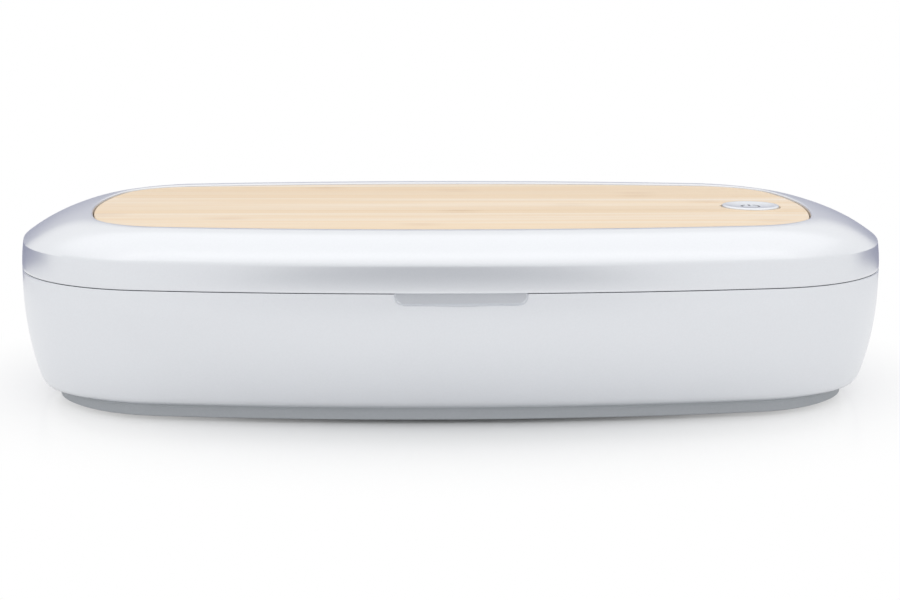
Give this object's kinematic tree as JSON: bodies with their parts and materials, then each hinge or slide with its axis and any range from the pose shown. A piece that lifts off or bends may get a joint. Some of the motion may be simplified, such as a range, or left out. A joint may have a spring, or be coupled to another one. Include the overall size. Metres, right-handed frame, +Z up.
{
  "type": "phone sanitizer box",
  "caption": "Shallow bowed box with a hinged lid, a wooden charging panel and a round button on top, and a bright lamp-lit chamber that holds a phone.",
  "frame": {"origin": "middle of the footprint, on the surface the feet stand on", "axes": "+X along the box towards the button, +Y towards the hinge, +Z up"},
  "size_m": [0.22, 0.114, 0.047],
  "materials": {
    "shell": "satin silver paint",
    "plinth": "fine matt",
    "foot": "matt",
    "screw": "zinc plated",
    "reflector": "bright silver",
    "window": "clear",
    "lamp_board": "white solder mask",
    "lamp": "white package",
    "circuit": "green solder mask",
    "chip": "matt black",
    "steel": "bright nickel",
    "bamboo": "satin lacquer",
    "seal": "soft white",
    "coil": "enamelled copper wire",
    "ferrite": "matt dark grey",
    "button": "satin",
    "plunger": "matt white"
  },
  "bodies": {
    "base": {"base_shell": "shell", "bottom_plate": "plinth", "foot_pads": "foot", "bottom_screws": "screw", "chamber_tub": "reflector", "tub_windows": "window", "base_lamp_board": "lamp_board", "base_lamps": "lamp", "main_board": "circuit", "board_parts": "chip", "board_screws": "screw", "usb_socket": "steel", "base_magnets": "steel", "lid_sensor": "chip", "hinge_pins": "steel"},
    "lid": {"lid_shell": "shell", "bamboo_panel": "bamboo", "lid_liner": "reflector", "liner_windows": "window", "lid_lamp_board": "lamp_board", "lid_lamps": "lamp", "light_seal": "seal", "liner_screws": "screw", "lid_magnets": "steel", "charging_coil": "coil", "ferrite_disc": "ferrite", "charge_board": "circuit", "charge_parts": "chip", "charge_screws": "screw", "switch_board": "circuit", "switch_body": "chip", "switch_screws": "screw"},
    "button": {"power_button": "button", "switch_plunger": "plunger"}
  },
  "joints": [
    {"name": "lid_hinge", "type": "hinge", "parent": "base", "child": "lid", "pos_m": [0, 0.0536, 0.0336], "axis": [-1, 0, 0], "range_deg": [0, 95]},
    {"name": "button_press", "type": "slide", "parent": "lid", "child": "button", "axis": [0, 0, -1], "range_m": [0, 0.0005], "stiffness_N_per_m": 400, "springref_m": -0.0005}
  ]
}
